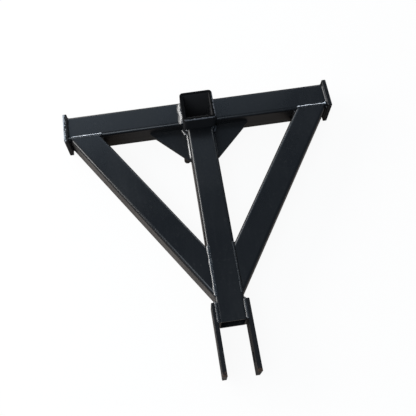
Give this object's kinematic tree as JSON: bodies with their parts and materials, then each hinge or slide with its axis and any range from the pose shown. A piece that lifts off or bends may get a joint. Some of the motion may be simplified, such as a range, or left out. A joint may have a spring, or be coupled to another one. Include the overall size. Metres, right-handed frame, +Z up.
{
  "type": "three point receiver hitch",
  "caption": "Welded A frame of square steel tube with a receiver socket, a clevis for the top link and end plates for the lift pins.",
  "frame": {"origin": "centre of the bounding box's bottom, on the floor that the frame lies on", "axes": "+X along the cross tube, +Y along the mast from the clevis to the cross tube, +Z up out of the receiver's mouth"},
  "size_m": [0.529, 0.5384, 0.0866],
  "materials": {
    "black_paint": "gloss black paint",
    "weld_paint": "gloss black paint over weld beads",
    "nut_steel": "plain steel"
  },
  "bodies": {
    "root": {"brace_foot_weld_left": "weld_paint", "brace_foot_weld_right": "weld_paint", "brace_left": "black_paint", "brace_right": "black_paint", "brace_tip_weld_left": "weld_paint", "brace_tip_weld_right": "weld_paint", "clevis_ear_left": "black_paint", "clevis_ear_right": "black_paint", "clevis_ear_weld_left": "weld_paint", "clevis_ear_weld_right": "weld_paint", "cross_tube_left": "black_paint", "cross_tube_right": "black_paint", "end_plate_left": "black_paint", "end_plate_right": "black_paint", "end_plate_weld_left": "weld_paint", "end_plate_weld_right": "weld_paint", "gusset_left": "black_paint", "gusset_right": "black_paint", "gusset_weld_left": "weld_paint", "gusset_weld_right": "weld_paint", "mast_head_weld": "weld_paint", "mast_tube": "black_paint", "pin_nut_left": "nut_steel", "pin_nut_right": "nut_steel", "receiver_tube": "black_paint", "receiver_weld_left": "weld_paint", "receiver_weld_right": "weld_paint", "round_stub": "black_paint", "round_stub_weld": "weld_paint"}
  },
  "joints": []
}
